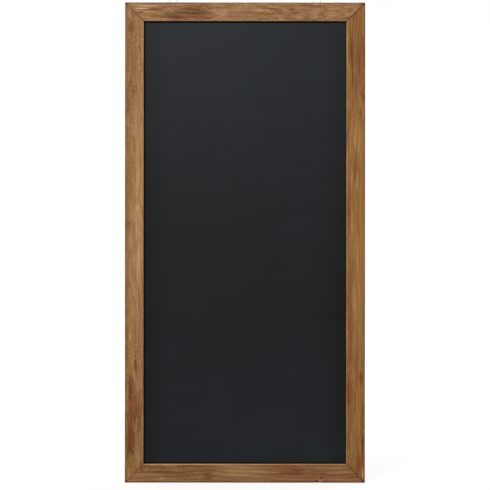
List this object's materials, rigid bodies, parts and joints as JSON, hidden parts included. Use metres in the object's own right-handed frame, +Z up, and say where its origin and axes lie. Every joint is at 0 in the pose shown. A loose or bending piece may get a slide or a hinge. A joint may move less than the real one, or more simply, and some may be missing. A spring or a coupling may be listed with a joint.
{
  "type": "wall chalkboard",
  "caption": "Tall chalkboard in a mitred wooden frame, with a black writing panel held in a rebate and wire hanging rings on the back.",
  "frame": {"origin": "middle of the board's flat bottom edge, half way through the thickness of the wooden frame", "axes": "+X to the reader's right, -Y out of the writing side, +Y towards the wall, +Z up the board"},
  "size_m": [0.5, 0.0253, 1.017],
  "materials": {
    "stained_wood": "brown stain under a thin satin coat",
    "black_laminate": "matte writing surface",
    "fibreboard": "raw hardboard",
    "brown_paper": "plain backing sheet",
    "zinc_steel": "zinc plated",
    "bright_steel": "bright plated wire",
    "black_rubber": "plain moulded"
  },
  "bodies": {
    "board": {"top_rail": "stained_wood", "bottom_rail": "stained_wood", "left_stile": "stained_wood", "right_stile": "stained_wood", "writing_surface": "black_laminate", "panel_core": "fibreboard", "panel_backing": "brown_paper", "v_nail_bottom_left_1": "zinc_steel", "v_nail_bottom_left_2": "zinc_steel", "v_nail_top_left_1": "zinc_steel", "v_nail_top_left_2": "zinc_steel", "v_nail_top_right_1": "zinc_steel", "v_nail_top_right_2": "zinc_steel", "v_nail_bottom_right_1": "zinc_steel", "v_nail_bottom_right_2": "zinc_steel", "retaining_point_top_1": "zinc_steel", "retaining_point_top_2": "zinc_steel", "retaining_point_bottom_1": "zinc_steel", "retaining_point_bottom_2": "zinc_steel", "retaining_point_left_1": "zinc_steel", "retaining_point_left_2": "zinc_steel", "retaining_point_left_3": "zinc_steel", "retaining_point_right_1": "zinc_steel", "retaining_point_right_2": "zinc_steel", "retaining_point_right_3": "zinc_steel", "hanger_strap_left": "zinc_steel", "hanger_strap_right": "zinc_steel", "hanger_screw_left": "zinc_steel", "hanger_screw_right": "zinc_steel", "wall_bumper_left": "black_rubber", "wall_bumper_right": "black_rubber"},
    "ring_left": {"hanging_ring_left": "bright_steel"},
    "ring_right": {"hanging_ring_right": "bright_steel"}
  },
  "joints": [
    {"name": "ring_left_swing", "type": "hinge", "parent": "board", "child": "ring_left", "pos_m": [-0.15, 0.0126, 0.995], "axis": [-1, 0, 0], "range_deg": [-15, 183]},
    {"name": "ring_right_swing", "type": "hinge", "parent": "board", "child": "ring_right", "pos_m": [0.15, 0.0126, 0.995], "axis": [-1, 0, 0], "range_deg": [-15, 183]}
  ]
}
